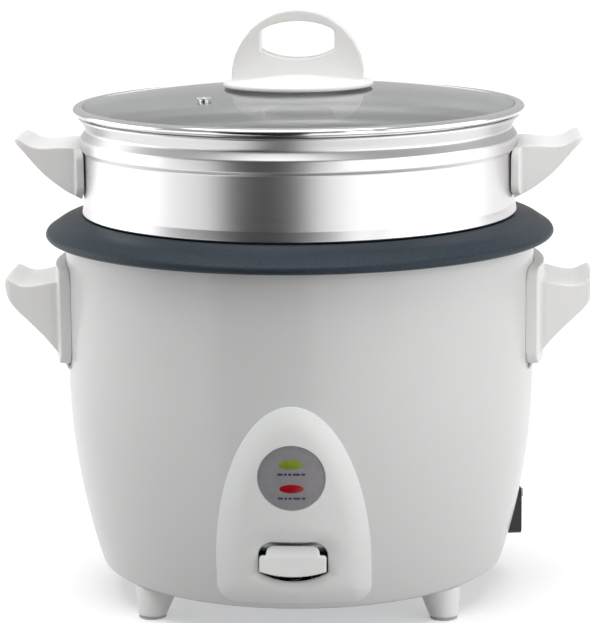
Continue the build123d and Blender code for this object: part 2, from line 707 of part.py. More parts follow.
def thermal_fuse():
    fuse = rod_along((30.0, -30.0, LINER_BOTTOM - 2.6), (1, 0, 0), 2.0, 12.0)
    fuse += rod_along((26.0, -30.0, LINER_BOTTOM - 2.6), (1, 0, 0), 0.6, 20.0)
    return fuse


# ---- Power inlet and wires -------------------------------------------------------------------
def power_inlet():
    flange_face = Pos(0, 0) * RectangleRounded(35.0, 25.0, 4.0)
    inlet = extrude(flange_face, amount=-9.5)
    inlet -= inlet_frame().location.inverse() * drum(-CLEARANCE)
    body = Pos(0, INLET_BODY_Y, -22) * extrude(
        RectangleRounded(INLET_BODY_WIDTH, INLET_BODY_HEIGHT, 2.0), amount=21
    )
    inlet += body
    cavity = Pos(0, INLET_BODY_Y, -16) * extrude(
        RectangleRounded(INLET_BODY_WIDTH - 3, INLET_BODY_HEIGHT - 3, 1.5), amount=20
    )
    inlet -= cavity
    for x, y in inlet_pin_places():
        inlet -= Pos(x, y, -19) * Box(2.1, 4.1, 12)
    for side in (-1, 1):
        inlet -= Pos(side * INLET_SCREW_X, 9.6, -4) * Cylinder(1.25, 12)
    return inlet_frame() * inlet


def inlet_pin_places():
    return ((-7.0, INLET_BODY_Y - 1.6), (0.0, INLET_BODY_Y + 2.4), (7.0, INLET_BODY_Y - 1.6))


def inlet_pins():
    return [inlet_frame() * Pos(x, y, -15.5) * Box(2.0, 4.0, 20.0) for x, y in inlet_pin_places()]


def inlet_screws():
    frame = inlet_frame()
    screws = []
    for side in (-1, 1):
        head = frame * Pos(side * INLET_SCREW_X, 9.6, 0)
        screws.append(screw(tuple(head.position), tuple(-frame.z_dir), 2.3, 1.0, 1.2, 4.5))
    return screws


def wire(points, corner_r):
    """Insulated lead along straight runs joined by arcs."""
    path = FilletPolyline(*points, radius=corner_r)
    section = Plane(origin=path @ 0, z_dir=path % 0) * Circle(1.1)
    return sweep(section, path=path)


def internal_wires():
    pin_end = inlet_frame() * Pos(7.0, INLET_BODY_Y - 1.6, -26.6)
    other_end = inlet_frame() * Pos(-7.0, INLET_BODY_Y - 1.6, -26.6)
    x, y = element_ends()[0]
    to_element = [tuple(pin_end.position), (72, 34, 33), (40, 66, 28), (x, y, 24), (x, y, 31.6)]
    to_switch = [
        tuple(other_end.position), (70, -8, 33), (48, -40, 26), (24, -64, 26), (24, -80, 25), (2.6, -80, 23.5),
    ]
    return [wire(to_element, 3.0), wire(to_switch, 3.0)]


# ---- Inner pot -------------------------------------------------------------------------------
def inner_pot():
    inner_r = POT_R - POT_SHEET
    points = [
        (0, POT_BOTTOM), (POT_R, POT_BOTTOM), (POT_R, 197.4), (120.4, 193.4), (127.2, 185.0),
        (RING_R, 185.2), (RING_R, 190.0), (122.4, 197.0), (112.6, RING_TOP), (inner_r, RING_TOP - 0.2),
        (inner_r, POT_BOTTOM + POT_SHEET), (0, POT_BOTTOM + POT_SHEET),
    ]
    radii = [0, 16.0, 1.0, 8.0, 1.2, 2.0, 3.0, 14.0, 5.0, 1.6, 14.2, 0]
    return turned(points, radii)


# ---- Steamer tray ----------------------------------------------------------------------------
HOLE_RINGS = ((20.0, 6), (38.0, 12), (56.0, 18), (74.0, 24))
RIVET_Y = 17.0
RIVET_Z = 222.0


def steamer_tray():
    path = [
        (0, TRAY_FLOOR), (TRAY_NEST_R, TRAY_FLOOR), (TRAY_NEST_R, TRAY_SKIRT_Z), (TRAY_SKIRT_R, TRAY_SKIRT_Z),
        (TRAY_WALL_R, 208.6), (TRAY_WALL_R, TRAY_BEAD_Z - 3.4), (TRAY_WALL_R + 0.9, TRAY_BEAD_Z),
        (TRAY_GROOVE_R, 243.2), (TRAY_RIM_R, TRAY_RIM_Z),
    ]
    tray = spun_sheet(path, [4.0, 0.8, 0.9, 2.0, 2.0, 1.6, 1.4], TRAY_SHEET)
    tray += Pos(0, 0, TRAY_RIM_Z - 0.6) * Torus(TRAY_RIM_R - 0.6, 0.8)
    holes = []
    for ring_r, count in HOLE_RINGS:
        for index in range(count):
            x, y = polar(ring_r, 360 * index / count)
            holes.append(disc(3.0, TRAY_FLOOR - 1, TRAY_FLOOR + 2, x, y))
    tray -= holes
    for side in (-1, 1):
        for y in (-RIVET_Y, RIVET_Y):
            tray -= rod_along((side * 100, y, RIVET_Z), (side, 0, 0), 2.0, 20)
    return tray


def steamer_handle():
    handle = side_handle(
        TRAY_WALL_R, (210.0, 233.6, 4.0, 30.0), TRAY_HANDLE_TOP, TRAY_HANDLE_UNDER, 25.0, 20.0,
        (119.5, 139.0, 229.4),
    )
    for y in (-RIVET_Y, RIVET_Y):
        handle -= rod_along((TRAY_WALL_R - 8, y, RIVET_Z), (1, 0, 0), 2.0 + CLEARANCE, 11.0)
    return handle


def steamer_rivets():
    rivets = []
    wall_x = sqrt((TRAY_WALL_R - TRAY_SHEET)**2 - (RIVET_Y + 3)**2) - 0.1
    for side in (-1, 1):
        for y in (-RIVET_Y, RIVET_Y):
            rivet = rod_along((side * (wall_x - 1.0), y, RIVET_Z), (side, 0, 0), 3.4, 1.0)
            rivet += rod_along((side * wall_x, y, RIVET_Z), (side, 0, 0), 1.95, 4.4)
            rivets.append(rivet)
    return rivets


# ---- Lid -------------------------------------------------------------------------------------
def dome(crown_z, radius, edge_z):
    """Top of a low spherical dome as a filled solid above the edge height."""
    rise = crown_z - edge_z
    sphere_r = (radius**2 + rise**2) / (2 * rise)
    return (Pos(0, 0, crown_z - sphere_r) * Sphere(sphere_r)) & disc(radius, edge_z - 20, crown_z + 5)


def lid_glass():
    glass = dome(GLASS_CROWN_Z, GLASS_R, GLASS_EDGE_Z)
    glass -= dome(GLASS_CROWN_Z - GLASS_THICKNESS, GLASS_R + 5, GLASS_EDGE_Z - GLASS_THICKNESS)
    glass -= disc(3.1, 240, 280)
    glass -= disc(2.55, 240, 280, *VENT_AT)
    return glass


def lid_rim():
    low = LID_RIM_Z
    high = LID_RIM_Z + LID_RIM_HEIGHT
    section = [(109.6, low), (LID_RIM_R, low), (LID_RIM_R, high), (110.8, high)]
    band = turned(section + [(110.8, low + 1.0)], [0, 1.4, 1.6, 0.4, 0])
    above = dome(GLASS_CROWN_Z + CLEARANCE, GLASS_R + CLEARANCE, GLASS_EDGE_Z + CLEARANCE)
    below = dome(GLASS_CROWN_Z - GLASS_THICKNESS - CLEARANCE, GLASS_R + 5, GLASS_EDGE_Z - GLASS_THICKNESS)
    band -= above - below
    band += tube(110.4, 109.6, low - 2.4, low + 0.8)
    return band


def vent_eyelet():
    x, y = VENT_AT
    glass_top = dome_height(sqrt(x**2 + y**2))
    eyelet = tube(2.5, 1.5, glass_top - 5.0, glass_top + 0.6, x, y)
    eyelet += tube(3.8, 1.5, glass_top + 0.3, glass_top + 1.1, x, y)
    eyelet += tube(3.6, 1.5, glass_top - 5.0, glass_top - 4.2, x, y)
    return eyelet


def dome_height(radius):
    """Height of the glass's upper face at a distance from the axis."""
    rise = GLASS_CROWN_Z - GLASS_EDGE_Z
    sphere_r = (GLASS_R**2 + rise**2) / (2 * rise)
    return GLASS_CROWN_Z - sphere_r + sqrt(sphere_r**2 - radius**2)


def lid_knob():
    flange = turned(
        [(0, KNOB_BASE_Z), (KNOB_FLANGE_R, KNOB_BASE_Z - 1.0), (KNOB_FLANGE_R, KNOB_BASE_Z + 1.4),
         (0, KNOB_BASE_Z + 6.0)],
        [0, 0.4, 0.8, 0],
    )
    arch = Pos(0, KNOB_SPRING_Z) * Ellipse(KNOB_HALF_WIDTH, KNOB_TOP_Z - KNOB_SPRING_Z)
    arch &= Pos(0, KNOB_SPRING_Z + 30) * Rectangle(100, 60)
    arch += Pos(0, KNOB_SPRING_Z - 1) * Rectangle(2 * KNOB_HALF_WIDTH, 4)
    grip = extrude(Plane.XZ * arch, amount=KNOB_DEPTH / 2, both=True)
    half_base = KNOB_DEPTH / 2
    half_top = KNOB_DEPTH / 3
    taper = outline([
        (-half_base, KNOB_SPRING_Z - 5), (half_base, KNOB_SPRING_Z - 5),
        (half_top, KNOB_TOP_Z + 1), (-half_top, KNOB_TOP_Z + 1),
    ])
    grip = grip & extrude(Plane.YZ * taper, amount=50, both=True)
    knob = flange + grip
    finger_hole = Pos(0, FINGER_HOLE_Z) * (Ellipse(21.5, 9.5) & Rectangle(37.4, 30))
    knob -= extrude(Plane.XZ * finger_hole, amount=30, both=True)
    knob -= dome(GLASS_CROWN_Z + 0.7, GLASS_R, GLASS_EDGE_Z + 0.7)
    knob -= disc(2.05, 250, KNOB_BASE_Z + 8.5)
    return knob


def knob_gasket():
    return (disc(12.0, 258, 262) + disc(12.0, 261, 266)) & (
        dome(GLASS_CROWN_Z + 0.68, GLASS_R, GLASS_EDGE_Z + 0.68) - dome(GLASS_CROWN_Z + 0.02, GLASS_R + 2, GLASS_EDGE_Z + 0.02)
    ) - disc(2.6, 240, 280)


def knob_screw():
    head_z = GLASS_CROWN_Z - GLASS_THICKNESS - 1.25
    return screw((0, 0, head_z), (0, 0, 1), 4.2, 2.4, 2.0, 12.5)


def knob_washer():
    top = GLASS_CROWN_Z - GLASS_THICKNESS - 0.12
    return tube(8.0, 2.1, top - 1.1, top)


# ---- Write every piece -----------------------------------------------------------------------
def write(name, shape):
    """Export one node: one solid, or a group of separate solids."""
    group = shape if isinstance(shape, list) else [shape]
    solids = [solid for piece in group for solid in piece.solids()]
    export_step(Compound(children=solids) if len(solids) > 1 else solids[0], f"parts/{name}.step")


def main():
    os.makedirs("parts", exist_ok=True)
    write("body_shell", body_shell())
    write("inner_liner", inner_liner())
    write("base_plate", base_plate())
    write("base_plate_screws", base_plate_screws())
    for place, (x, y) in FEET.items():
        write(f"foot_{place}", foot(x, y))
    write("foot_pads", foot_pads())
    write("foot_screws", foot_screws())
    write("body_handle_right", body_handle())
    write("body_handle_left", mirror(body_handle(), about=Plane.YZ))
    write("body_handle_screws", body_handle_screws())
    write("control_bezel", control_bezel())
    write("bezel_screws", bezel_screws())
    write("indicator_plate", indicator_plate())
    write("cook_lens", lens(COOK_LENS_Z))
    write("warm_lens", lens(WARM_LENS_Z))
    write("cook_lamp", lamp(COOK_LENS_Z))
    write("warm_lamp", lamp(WARM_LENS_Z))
    write("lamp_holder", lamp_holder())
    write("lever_bracket", lever_bracket())
    write("lever_bracket_screws", lever_bracket_screws())
    write("lever_pivot_pin", lever_pivot_pin())
    write("lever_arm", lever_arm())
    write("lever_paddle", lever_paddle())
    write("lever_return_spring", lever_return_spring())
    write("microswitch", microswitch())
    write("microswitch_screws", microswitch_screws())
    write("switch_plunger", switch_plunger())
    write("magnet", magnet())
    write("magnet_rod", magnet_rod())
    write("thermostat_sleeve", thermostat_sleeve())
    write("thermostat_spring", thermostat_spring())
    write("thermostat_cap", thermostat_cap())
    write("thermostat_ferrite", thermostat_ferrite())
    write("heating_plate", heating_plate())
    write("heating_element", heating_element())
    write("element_insulators", element_insulators())
    write("plate_posts", plate_posts())
    write("plate_screws", plate_screws())
    write("keep_warm_thermostat", keep_warm_thermostat())
    write("thermal_fuse", thermal_fuse())
    write("power_inlet", power_inlet())
    write("inlet_pins", inlet_pins())
    write("inlet_screws", inlet_screws())
    write("internal_wires", internal_wires())
    write("inner_pot", inner_pot())
    write("steamer_tray", steamer_tray())
    write("steamer_handle_right", steamer_handle())
    write("steamer_handle_left", mirror(steamer_handle(), about=Plane.YZ))
    write("steamer_rivets", steamer_rivets())
    write("lid_glass", lid_glass())
    write("lid_rim", lid_rim())
    write("vent_eyelet", vent_eyelet())
    write("lid_knob", lid_knob())
    write("knob_gasket", knob_gasket())
    write("knob_screw", knob_screw())
    write("knob_washer", knob_washer())


main()
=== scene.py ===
"""Looks of a drum rice cooker with a steamer tray and a glass lid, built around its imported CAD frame.

Lengths in the tables and profiles are millimetres in the row frame: the axis of the drum is Z, the floor
is z = 0 and the front faces -Y. Everything is turned into metres where a mesh is made.
"""

import json
import math

import bmesh
import bpy
from mathutils import Matrix, Vector


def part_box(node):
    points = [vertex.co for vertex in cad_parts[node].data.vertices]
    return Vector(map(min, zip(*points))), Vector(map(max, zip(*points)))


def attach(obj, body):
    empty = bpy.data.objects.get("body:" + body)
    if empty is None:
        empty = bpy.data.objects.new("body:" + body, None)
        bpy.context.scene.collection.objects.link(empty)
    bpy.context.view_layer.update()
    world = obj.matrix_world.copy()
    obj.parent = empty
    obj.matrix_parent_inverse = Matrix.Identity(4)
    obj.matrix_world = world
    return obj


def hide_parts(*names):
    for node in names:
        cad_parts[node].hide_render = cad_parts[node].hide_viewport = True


MM = 0.001
LATHE_STEPS = 360

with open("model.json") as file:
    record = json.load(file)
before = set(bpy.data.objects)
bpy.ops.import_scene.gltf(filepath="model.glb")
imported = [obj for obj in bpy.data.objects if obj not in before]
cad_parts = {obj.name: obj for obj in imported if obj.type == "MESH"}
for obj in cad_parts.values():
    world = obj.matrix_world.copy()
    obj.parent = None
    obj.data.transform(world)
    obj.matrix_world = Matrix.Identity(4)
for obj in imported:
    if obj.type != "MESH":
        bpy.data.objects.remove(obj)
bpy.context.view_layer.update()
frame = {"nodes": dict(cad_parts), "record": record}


# ---- Sizes read from the frame ---------------------------------------------------------------
def top_of(node):
    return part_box(node)[1] / MM


def bottom_of(node):
    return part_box(node)[0] / MM


DRUM_R = top_of("body_shell").y
DRUM_BOTTOM = bottom_of("body_shell").z
DRUM_TOP = top_of("body_shell").z
BELLY_Z = 118.0           # height where the straight wall turns into the belly curve
BELLY_CURVE_R = 330.0
DRUM_CORNER_R = 3.2
DRUM_SHEET = 0.8
BEZEL_PROUD = 3.6
BEZEL_TOP = top_of("control_bezel").z
BEZEL_HALF_WIDTH = top_of("control_bezel").x
BEZEL_SPRING_Z = 40.0     # centre of the bezel's half ellipse
DIAL_LOW = bottom_of("indicator_plate").z
DIAL_HIGH = top_of("indicator_plate").z
DIAL_Z = (DIAL_LOW + DIAL_HIGH) / 2
DIAL_R = (DIAL_HIGH - DIAL_LOW) / 2
POT_TOP = top_of("inner_pot").z
POT_BOTTOM = bottom_of("inner_pot").z
RING_R = top_of("inner_pot").x
TRAY_FLOOR = bottom_of("steamer_tray").z
LID_RIM_R = top_of("lid_rim").x
LID_COLLAR = 2.4          # depth of the thin collar under the lid's steel band
LID_RIM_DROP = 1.9        # the band sits this much lower than in the CAD
LID_RIM_HEIGHT = 3.7
LID_RIM_LOW = bottom_of("lid_rim").z + LID_COLLAR - LID_RIM_DROP
GLASS_R = top_of("lid_glass").x
GLASS_CROWN = top_of("lid_glass").z
GLASS_EDGE = 253.5        # height of the edge of the glass's upper face
GLASS_THICKNESS = 2.8


def drum_radius(height):
    """Outer radius of the drum at a height."""
    if height >= BELLY_Z:
        return DRUM_R
    drop = BELLY_Z - height
    return DRUM_R - BELLY_CURVE_R + math.sqrt(BELLY_CURVE_R**2 - drop**2)


def glass_height(radius):
    """Height of the lid glass's upper face at a distance from the axis."""
    rise = GLASS_CROWN - GLASS_EDGE
    sphere_r = (GLASS_R**2 + rise**2) / (2 * rise)
    return GLASS_CROWN - sphere_r + math.sqrt(sphere_r**2 - radius**2)


# ---- Mesh helpers ----------------------------------------------------------------------------
def mesh_object(name, points, faces):
    """New object from points in millimetres."""
    mesh = bpy.data.meshes.new(name)
    mesh.from_pydata([Vector(p) * MM for p in points], [], faces)
    mesh.validate()
    work = bmesh.new()
    work.from_mesh(mesh)
    bmesh.ops.remove_doubles(work, verts=work.verts, dist=1e-6)
    bmesh.ops.recalc_face_normals(work, faces=work.faces)
    work.to_mesh(mesh)
    work.free()
    obj = bpy.data.objects.new(name, mesh)
    bpy.context.scene.collection.objects.link(obj)
    mesh.shade_smooth()
    return obj


def soften(obj, angle=35.0):
    """Smooth shading that keeps edges sharper than the angle."""
    obj.data.shade_smooth()
    obj.data.set_sharp_from_angle(angle=math.radians(angle))
    return obj


def rounded(corners, steps=8):
    """Open line of (radius, height) points. A corner is (r, z) or (r, z, fillet radius)."""
    line = []
    for index, corner in enumerate(corners):
        here = Vector(corner[:2])
        fillet = corner[2] if len(corner) > 2 else 0.0
        if fillet <= 0 or index in (0, len(corners) - 1):
            line.append(tuple(here))
            continue
        back = (Vector(corners[index - 1][:2]) - here).normalized()
        ahead = (Vector(corners[index + 1][:2]) - here).normalized()
        half_angle = back.angle(ahead) / 2
        reach = fillet / math.tan(half_angle)
        centre = here + (back + ahead).normalized() * (fillet / math.sin(half_angle))
        start = here + back * reach - centre
        end = here + ahead * reach - centre
        swing = start.angle_signed(end)
        for step in range(steps + 1):
            line.append(tuple(centre + turned(start, -swing * step / steps)))
    return line


def turned(vector, angle):
    """2-D vector turned anticlockwise."""
    cosine = math.cos(angle)
    sine = math.sin(angle)
    return Vector((vector.x * cosine - vector.y * sine, vector.x * sine + vector.y * cosine))


def lathe(name, line, centre=(0.0, 0.0), steps=LATHE_STEPS):
    """Surface of revolution of a closed line of (radius, height) points about an upright axis."""
    points = []
    faces = []
    count = len(line)
    for step in range(steps):
        angle = 2 * math.pi * step / steps
        for radius, height in line:
            x = centre[0] + radius * math.cos(angle)
            y = centre[1] + radius * math.sin(angle)
            points.append((x, y, height))
    for step in range(steps):
        here = step * count
        ahead = ((step + 1) % steps) * count
        for index in range(count):
            following = (index + 1) % count
            faces.append((here + index, ahead + index, ahead + following, here + following))
    return soften(mesh_object(name, points, faces))


def apply_modifiers(obj):
    """Replaces the object's mesh by its evaluated one."""
    graph = bpy.context.evaluated_depsgraph_get()
    mesh = bpy.data.meshes.new_from_object(obj.evaluated_get(graph))
    obj.modifiers.clear()
    obj.data = mesh
    return obj


def cut(obj, cutter):
    """Cuts one closed mesh out of another."""
    modifier = obj.modifiers.new("cut", "BOOLEAN")
    modifier.operation = "DIFFERENCE"
    modifier.solver = "EXACT"
    modifier.object = cutter
    apply_modifiers(obj)
    bpy.data.objects.remove(cutter)
    return soften(obj)


def prism(name, outline, low, high, place=Matrix.Identity(4)):
    """Closed prism over an outline in its own XY plane, placed by a matrix in millimetres."""
    count = len(outline)
    points = [tuple(place @ Vector((x, y, low))) for x, y in outline]
    points += [tuple(place @ Vector((x, y, high))) for x, y in outline]
    faces = [tuple(range(count)), tuple(range(count, 2 * count))]
    for index in range(count):
        following = (index + 1) % count
        faces.append((index, following, count + following, count + index))
    return soften(mesh_object(name, points, faces))


def joined(objects, name):
    """One object from several. The first keeps its place."""
    work = bmesh.new()
    for obj in objects:
        work.from_mesh(obj.data)
        bpy.data.objects.remove(obj)
    mesh = bpy.data.meshes.new(name)
    work.to_mesh(mesh)
    work.free()
    obj = bpy.data.objects.new(name, mesh)
    bpy.context.scene.collection.objects.link(obj)
    return obj


def circle(radius, centre=(0.0, 0.0), steps=96):
    """Outline of a circle."""
    line = []
    for step in range(steps):
        angle = 2 * math.pi * step / steps
        line.append((centre[0] + radius * math.cos(angle), centre[1] + radius * math.sin(angle)))
    return line


def rounded_box(half_width, half_height, corner, centre=(0.0, 0.0), steps=10):
    """Outline of a rectangle with round corners."""
    line = []
    for quarter, (sx, sy) in enumerate(((1, 1), (-1, 1), (-1, -1), (1, -1))):
        for step in range(steps + 1):
            angle = math.pi / 2 * (quarter + step / steps)
            line.append((
                centre[0] + sx * (half_width - corner) + corner * math.cos(angle),
                centre[1] + sy * (half_height - corner) + corner * math.sin(angle),
            ))
    return line


# The XZ plane seen from the front: local X is +X, local Y is +Z, local Z points forwards to -Y.
FRONT = Matrix(((1, 0, 0, 0), (0, 0, -1, 0), (0, 1, 0, 0), (0, 0, 0, 1)))


def moulded(node, name, voxel, smoothing):
    """Moulded copy of a CAD node: the same shape with its edges softly rounded."""
    obj = bpy.data.objects.new(name, frame["nodes"][node].data.copy())
    bpy.context.scene.collection.objects.link(obj)
    obj.data.materials.clear()
    remesh = obj.modifiers.new("remesh", "REMESH")
    remesh.mode = "VOXEL"
    remesh.voxel_size = voxel * MM
    smooth = obj.modifiers.new("smooth", "SMOOTH")
    smooth.iterations = smoothing
    smooth.factor = 0.5
    apply_modifiers(obj)
    obj.data.shade_smooth()
    return obj


def settle(obj, body, slot, material, *nodes):
    """Gives a finished piece its material, its body and the CAD nodes that it stands for."""
    obj.data.materials.clear()
    obj.data.materials.append(material)
    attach(obj, body)
    if nodes:
        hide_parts(*nodes)
    return obj


# ---- Material helpers ------------------------------------------------------------------------
def shader(name, color, roughness, metallic=0.0, **sockets):
    """New material with one Principled shader. Underscores in socket names stand for spaces."""
    material = bpy.data.materials.new(name)
    material.use_nodes = True
    bsdf = material.node_tree.nodes["Principled BSDF"]
    bsdf.inputs["Base Color"].default_value = (*color, 1.0)
    bsdf.inputs["Roughness"].default_value = roughness
    bsdf.inputs["Metallic"].default_value = metallic
    for key, value in sockets.items():
        bsdf.inputs[key.replace("_", " ")].default_value = value
    return material


def node(material, kind, **values):
    """New node. A value whose name is an input's sets the input, any other sets a property."""
    made = material.node_tree.nodes.new(kind)
    for key, value in values.items():
        label = key.replace("_", " ")
        if label in made.inputs:
            made.inputs[label].default_value = value
        else:
            setattr(made, key, value)
    return made


def link(material, source, target):
    material.node_tree.links.new(source, target)


def noise(material, scale, detail=2.0):
    """Noise in the row frame."""
    place = node(material, "ShaderNodeTexCoord")
    texture = node(material, "ShaderNodeTexNoise", Scale=scale, Detail=detail)
    link(material, place.outputs["Object"], texture.inputs["Vector"])
    return texture.outputs["Fac"]


def spun(material, frequency, detail=3.0):
    """Noise that is the same all round the axis, as the tool marks on a spun sheet."""
    place = node(material, "ShaderNodeTexCoord")
    split = node(material, "ShaderNodeSeparateXYZ")
    link(material, place.outputs["Object"], split.inputs["Vector"])
    flat = node(material, "ShaderNodeCombineXYZ")
    link(material, split.outputs["X"], flat.inputs["X"])
    link(material, split.outputs["Y"], flat.inputs["Y"])
    length = node(material, "ShaderNodeVectorMath", operation="LENGTH")
    link(material, flat.outputs["Vector"], length.inputs[0])
    rings = node(material, "ShaderNodeCombineXYZ")
    link(material, length.outputs["Value"], rings.inputs["X"])
    link(material, split.outputs["Z"], rings.inputs["Y"])
    texture = node(material, "ShaderNodeTexNoise", Scale=frequency, Detail=detail)
    link(material, rings.outputs["Vector"], texture.inputs["Vector"])
    return texture.outputs["Fac"]


def vary(material, socket, factor, low, high):
    """Drives a number socket between two values by a factor."""
    spread = node(material, "ShaderNodeMapRange", To_Min=low, To_Max=high)
    link(material, factor, spread.inputs["Value"])
    bsdf = material.node_tree.nodes["Principled BSDF"]
    link(material, spread.outputs["Result"], bsdf.inputs[socket])


def tint(material, factor, first, second):
    """Mixes two base colours by a factor."""
    ramp = node(material, "ShaderNodeValToRGB")
    ramp.color_ramp.elements[0].position = 0.3
    ramp.color_ramp.elements[0].color = (*first, 1.0)
    ramp.color_ramp.elements[1].position = 0.7
    ramp.color_ramp.elements[1].color = (*second, 1.0)
    link(material, factor, ramp.inputs["Fac"])
    bsdf = material.node_tree.nodes["Principled BSDF"]
    link(material, ramp.outputs["Color"], bsdf.inputs["Base Color"])


def bump(material, height, strength, depth):
    """Fine relief of a depth in millimetres. Later calls stack on earlier ones."""
    bsdf = material.node_tree.nodes["Principled BSDF"]
    relief = node(material, "ShaderNodeBump", Strength=strength, Distance=depth * MM)
    link(material, height, relief.inputs["Height"])
    if bsdf.inputs["Normal"].is_linked:
        earlier = bsdf.inputs["Normal"].links[0].from_socket
        link(material, earlier, relief.inputs["Normal"])
    link(material, relief.outputs["Normal"], bsdf.inputs["Normal"])


# ---- Materials -------------------------------------------------------------------------------
def white_enamel():
    """Gloss stoved enamel on steel, with a faint orange peel."""
    made = shader("white_enamel", (0.76, 0.755, 0.75), 0.32, Coat_Weight=0.25, Coat_Roughness=0.12)
    tint(made, noise(made, 9.0), (0.75, 0.745, 0.74), (0.77, 0.765, 0.76))
    vary(made, "Roughness", noise(made, 30.0), 0.28, 0.36)
    bump(made, noise(made, 420.0, 1.0), 0.12, 0.05)
    return made


def white_plastic():
    """Moulded white polypropylene, slightly translucent and satin."""
    made = shader(
        "white_plastic", (0.94, 0.94, 0.925), 0.38,
        Subsurface_Weight=0.16, Subsurface_Scale=0.004, Specular_IOR_Level=0.45,
    )
    tint(made, noise(made, 14.0), (0.93, 0.932, 0.915), (0.95, 0.948, 0.932))
    vary(made, "Roughness", noise(made, 60.0), 0.33, 0.43)
    bump(made, noise(made, 1500.0, 2.0), 0.10, 0.03)
    return made


def dark_nonstick():
    """Dark slate non-stick coating with a fine sparkle and a satin gloss."""
    made = shader("dark_nonstick", (0.026, 0.038, 0.053), 0.42, Specular_IOR_Level=0.22)
    tint(made, noise(made, 900.0, 1.0), (0.019, 0.031, 0.043), (0.031, 0.045, 0.060))
    vary(made, "Roughness", noise(made, 45.0), 0.38, 0.46)
    bump(made, noise(made, 1600.0, 1.0), 0.15, 0.03)
    return made


def polished_aluminium():
    """Spun aluminium, polished, with fine rings left by the tool."""
    made = shader("polished_aluminium", (0.68, 0.67, 0.68), 0.29, 1.0, Anisotropic=0.55)
    tangent = node(made, "ShaderNodeTangent", direction_type="RADIAL", axis="Z")
    link(made, tangent.outputs["Tangent"], made.node_tree.nodes["Principled BSDF"].inputs["Tangent"])
    rings = spun(made, 350.0, 1.0)
    vary(made, "Roughness", rings, 0.26, 0.32)
    bump(made, rings, 0.03, 0.02)
    return made


def bright_steel():
    """Polished stainless band."""
    made = shader("bright_steel", (0.80, 0.80, 0.80), 0.14, 1.0)
    vary(made, "Roughness", spun(made, 900.0), 0.10, 0.20)
    return made


def lid_glass():
    """Clear tempered glass with a faint grey tint."""
    made = shader("lid_glass", (0.86, 0.89, 0.885), 0.02, Transmission_Weight=1.0, IOR=1.5)
    vary(made, "Roughness", noise(made, 20.0), 0.01, 0.04)
    return made


def dial_grey():
    """Printed grey indicator plate with a fine satin grain."""
    made = shader("dial_grey", (0.29, 0.28, 0.295), 0.42)
    tint(made, noise(made, 300.0), (0.275, 0.265, 0.28), (0.305, 0.295, 0.31))
    bump(made, noise(made, 2500.0), 0.10, 0.02)
    return made


def tinted_lens(name, color):
    """Tinted clear plastic window."""
    made = shader(name, color, 0.22, Specular_IOR_Level=0.35)
    tint(made, noise(made, 500.0), tuple(0.85 * c for c in color), color)
    return made


def plated_sheet():
    """Zinc plated steel sheet with a faint spangle."""
    made = shader("zinc_sheet", (0.56, 0.57, 0.59), 0.38, 1.0)
    tint(made, noise(made, 120.0), (0.50, 0.51, 0.53), (0.62, 0.63, 0.65))
    vary(made, "Roughness", noise(made, 160.0), 0.30, 0.46)
    return made


def cast_aluminium():
    """Machined face of an aluminium casting."""
    made = shader("cast_aluminium", (0.62, 0.62, 0.63), 0.36, 1.0)
    rings = spun(made, 1100.0)
    vary(made, "Roughness", rings, 0.28, 0.44)
    bump(made, rings, 0.25, 0.04)
    return made


def grained(name, color, roughness, metallic=0.0, grain=900.0):
    """Plain small part: a base colour with a fine mottle and grain."""
    made = shader(name, color, roughness, metallic)
    darker = tuple(0.9 * c for c in color)
    lighter = tuple(min(1.0, 1.08 * c) for c in color)
    tint(made, noise(made, grain / 6), darker, lighter)
    bump(made, noise(made, grain), 0.12, 0.03)
    return made


MATERIALS = {
    "white_enamel": white_enamel(),
    "zinc_sheet": plated_sheet(),
    "steel_screw": grained("steel_screw", (0.52, 0.52, 0.54), 0.32, 1.0),
    "white_plastic": white_plastic(),
    "foot_rubber": grained("foot_rubber", (0.58, 0.58, 0.56), 0.75),
    "dial_grey": dial_grey(),
    "green_lens": tinted_lens("green_lens", (0.24, 0.34, 0.02)),
    "red_lens": tinted_lens("red_lens", (0.42, 0.002, 0.010)),
    "lamp_glass": grained("lamp_glass", (0.85, 0.55, 0.35), 0.15),
    "board": grained("board", (0.42, 0.30, 0.15), 0.6),
    "black_plastic": grained("black_plastic", (0.010, 0.010, 0.011), 0.42),
    "cast_aluminium": cast_aluminium(),
    "element_steel": grained("element_steel", (0.22, 0.20, 0.19), 0.5, 1.0),
    "porcelain": grained("porcelain", (0.80, 0.78, 0.72), 0.5),
    "dark_magnet": grained("dark_magnet", (0.05, 0.05, 0.055), 0.5, 0.6),
    "pin_brass": grained("pin_brass", (0.72, 0.60, 0.32), 0.28, 1.0),
    "wire_insulation": grained("wire_insulation", (0.72, 0.71, 0.66), 0.6),
    "dark_nonstick": dark_nonstick(),
    "polished_aluminium": polished_aluminium(),
    "lid_glass": lid_glass(),
    "bright_steel": bright_steel(),
}
print_ink = grained("print_ink", (0.035, 0.040, 0.075), 0.5)


def dress_cad_nodes():
    """Every CAD node gets the procedural material of its slot."""
    for row in frame["record"]["subparts"]:
        mesh = frame["nodes"][row["node"]].data
        mesh.materials.clear()
        mesh.materials.append(MATERIALS[row["material_slot"]])


